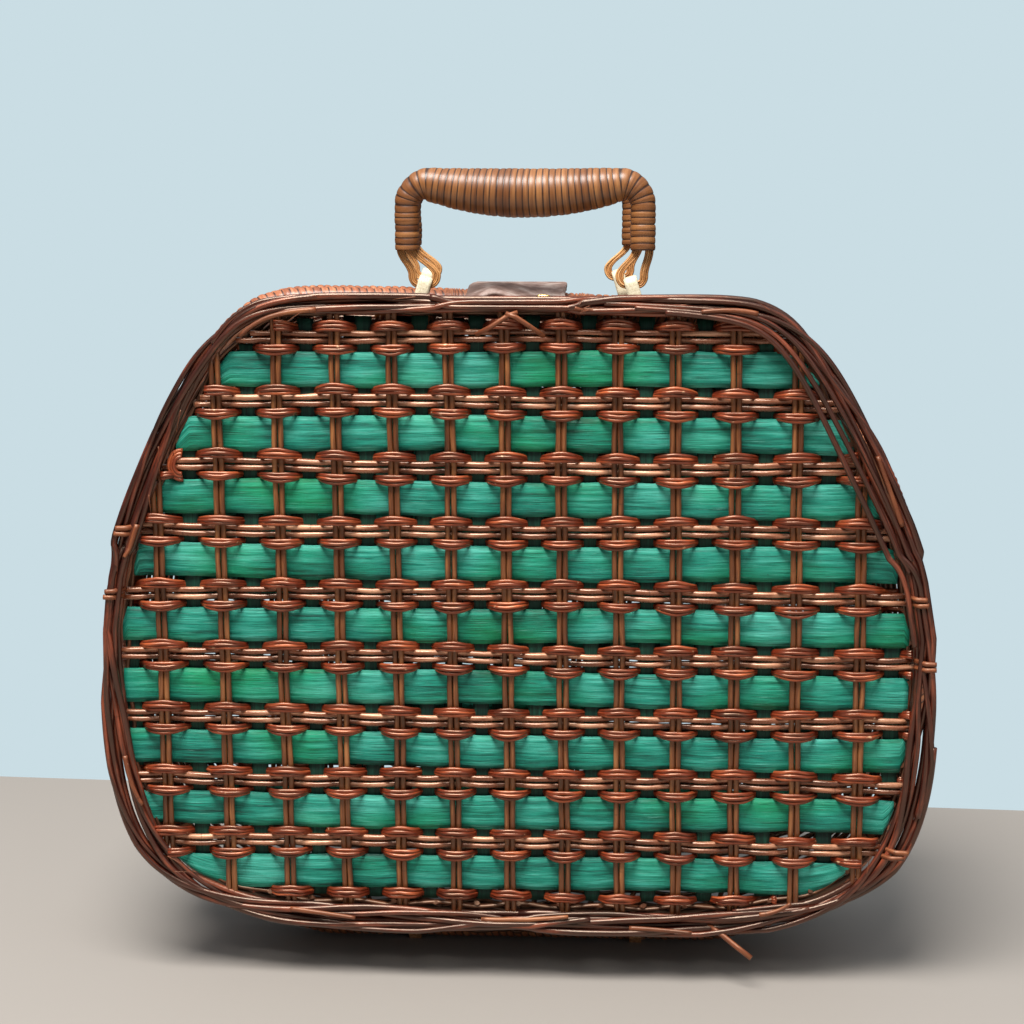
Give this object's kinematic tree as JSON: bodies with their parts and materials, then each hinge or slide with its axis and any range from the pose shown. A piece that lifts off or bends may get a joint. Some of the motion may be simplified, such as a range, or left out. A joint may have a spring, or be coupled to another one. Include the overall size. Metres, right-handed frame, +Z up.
{
  "type": "picnic basket",
  "caption": "Clamshell wicker picnic case with woven panels, plaited borders, wrapped mouth rims, arched handles and a leather latch strap.",
  "frame": {"origin": "on the surface the case stands on, under the middle of its box", "axes": "+X to the right seen from the front, +Y from the front to the back, +Z up"},
  "size_m": [0.406, 0.137, 0.3863],
  "materials": {
    "green_bamboo": "stained, satin",
    "dark_bamboo": "stained, satin",
    "brown_willow": "varnished",
    "brown_reed": "varnished",
    "dark_willow": "varnished",
    "tan_cane": "satin",
    "pale_cane": "satin",
    "white_strap": "matte",
    "leather": "worn",
    "brass": "worn"
  },
  "bodies": {
    "rear_half": {"rear_slats": "green_bamboo", "rear_strips": "dark_bamboo", "rear_stakes": "brown_willow", "rear_cross_rods": "brown_willow", "rear_weavers": "brown_reed", "rear_border": "dark_willow", "rear_side_wall": "brown_reed", "rear_mouth_rim": "tan_cane", "rear_hinge_ties": "tan_cane", "rear_handle_clip_left": "white_strap", "rear_handle_clip_right": "white_strap", "hinge_rods": "tan_cane", "strap_anchor": "leather", "strap_rivets": "brass"},
    "front_half": {"front_slats": "green_bamboo", "front_strips": "dark_bamboo", "front_stakes": "brown_willow", "front_cross_rods": "brown_willow", "front_weavers": "brown_reed", "front_border": "dark_willow", "front_side_wall": "brown_reed", "front_mouth_rim": "tan_cane", "front_hinge_ties": "tan_cane", "front_handle_clip_left": "white_strap", "front_handle_clip_right": "white_strap", "brass_clasp": "brass"},
    "front_handle": {"front_handle_grip": "tan_cane", "front_handle_loop_left": "pale_cane", "front_handle_loop_right": "pale_cane"},
    "rear_handle": {"rear_handle_grip": "tan_cane", "rear_handle_loop_left": "pale_cane", "rear_handle_loop_right": "pale_cane"},
    "latch_flap": {"strap_flap": "leather"}
  },
  "joints": [
    {"name": "lid_hinge", "type": "hinge", "parent": "rear_half", "child": "front_half", "pos_m": [0, 0, 0.002], "axis": [1, 0, 0], "range_deg": [0, 135]},
    {"name": "front_handle_hinge", "type": "hinge", "parent": "front_half", "child": "front_handle", "pos_m": [0.005, -0.042, 0.3335], "axis": [1, 0, 0], "range_deg": [-18, 65]},
    {"name": "rear_handle_hinge", "type": "hinge", "parent": "rear_half", "child": "rear_handle", "pos_m": [0.0015, 0.042, 0.3335], "axis": [-1, 0, 0], "range_deg": [-18, 65]},
    {"name": "strap_fold", "type": "hinge", "parent": "rear_half", "child": "latch_flap", "pos_m": [0, 0.0123, 0.33654], "axis": [-1, 0, 0], "range_deg": [0, 90]}
  ]
}
